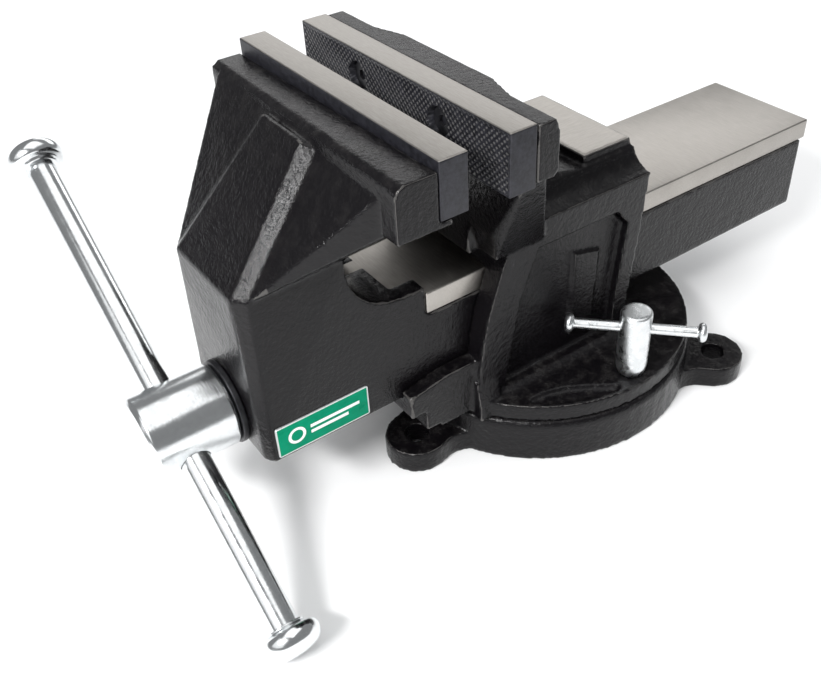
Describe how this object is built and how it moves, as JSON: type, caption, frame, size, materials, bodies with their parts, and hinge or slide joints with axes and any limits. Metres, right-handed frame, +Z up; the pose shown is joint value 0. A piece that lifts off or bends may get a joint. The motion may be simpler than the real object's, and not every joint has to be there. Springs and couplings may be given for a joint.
{
  "type": "bench vise",
  "caption": "Swivel-base bench vise with wide serrated jaws, a ground slide, a small anvil, a sliding handle bar and swivel lock screws.",
  "frame": {"origin": "on the swivel axis, at the underside of the base casting, which is the bench surface", "axes": "+Z up along the swivel axis; +Y along the slide, away from the handle; +X along the jaws, to the right when standing at the handle"},
  "size_m": [0.2388, 0.392, 0.19],
  "materials": {
    "black_enamel": "gloss black enamel over sand-cast iron, slightly pebbled",
    "blackened_steel": "black oxide, satin",
    "ground_steel": "surface-ground bare steel with fine cross lines",
    "plain_steel": "machined, lightly oiled",
    "plated_steel": "bright plating over turned steel",
    "green_label": "printed green foil with a silver border, no lettering"
  },
  "bodies": {
    "base": {"base_casting": "black_enamel"},
    "swivel_body": {"fixed_body": "black_enamel", "fixed_jaw_plate": "blackened_steel", "fixed_jaw_screw_left": "blackened_steel", "fixed_jaw_screw_right": "blackened_steel", "spindle_nut": "plain_steel", "nut_screw_left": "blackened_steel", "nut_screw_right": "blackened_steel", "tee_nut_right": "plain_steel", "tee_nut_left": "plain_steel"},
    "moving_jaw": {"moving_jaw_body": "black_enamel", "moving_jaw_plate": "blackened_steel", "moving_jaw_screw_left": "blackened_steel", "moving_jaw_screw_right": "blackened_steel", "slide_plate": "ground_steel", "side_label": "green_label", "head_washer": "blackened_steel"},
    "spindle": {"spindle": "plated_steel", "thrust_collar": "plain_steel", "collar_pin": "plain_steel"},
    "handle": {"handle_bar": "plated_steel", "handle_knob_upper": "plated_steel", "handle_knob_lower": "plated_steel"},
    "lock_right": {"lock_screw_right": "plated_steel"},
    "lock_right_bar": {"lock_bar_right": "plated_steel"},
    "lock_left": {"lock_screw_left": "plated_steel"},
    "lock_left_bar": {"lock_bar_left": "plated_steel"}
  },
  "joints": [
    {"name": "swivel", "type": "hinge", "parent": "base", "child": "swivel_body", "pos_m": [0, 0, 0.024], "axis": [0, 0, 1], "continuous": true},
    {"name": "jaw_slide", "type": "slide", "parent": "swivel_body", "child": "moving_jaw", "axis": [0, 1, 0], "range_m": [-0.1307, 0.0192]},
    {"name": "spindle_turn", "type": "hinge", "parent": "moving_jaw", "child": "spindle", "pos_m": [0, -0.2, 0.0637], "axis": [0, 1, 0], "range_deg": [-7860, 1160]},
    {"name": "handle_slide", "type": "slide", "parent": "spindle", "child": "handle", "axis": [-0.8711, 0.014, 0.4909], "range_m": [-0.1232, 0.0775]},
    {"name": "lock_right_turn", "type": "hinge", "parent": "swivel_body", "child": "lock_right", "pos_m": [0.072, 0.002, 0.0333], "axis": [0, 0, 1], "range_deg": [-4, 85]},
    {"name": "lock_right_bar_slide", "type": "slide", "parent": "lock_right", "child": "lock_right_bar", "axis": [0.7193, 0.6947, 0], "range_m": [-0.003, 0.0213]},
    {"name": "lock_left_turn", "type": "hinge", "parent": "swivel_body", "child": "lock_left", "pos_m": [-0.072, 0.002, 0.0333], "axis": [0, 0, 1], "range_deg": [-2, 78]},
    {"name": "lock_left_bar_slide", "type": "slide", "parent": "lock_left", "child": "lock_left_bar", "axis": [0.6293, 0.7771, 0], "range_m": [-0.0213, 0.005]}
  ],
  "couplings": [
    {"joint": "spindle_turn", "follows": "jaw_slide", "rad_per_m": 1047.2}
  ]
}
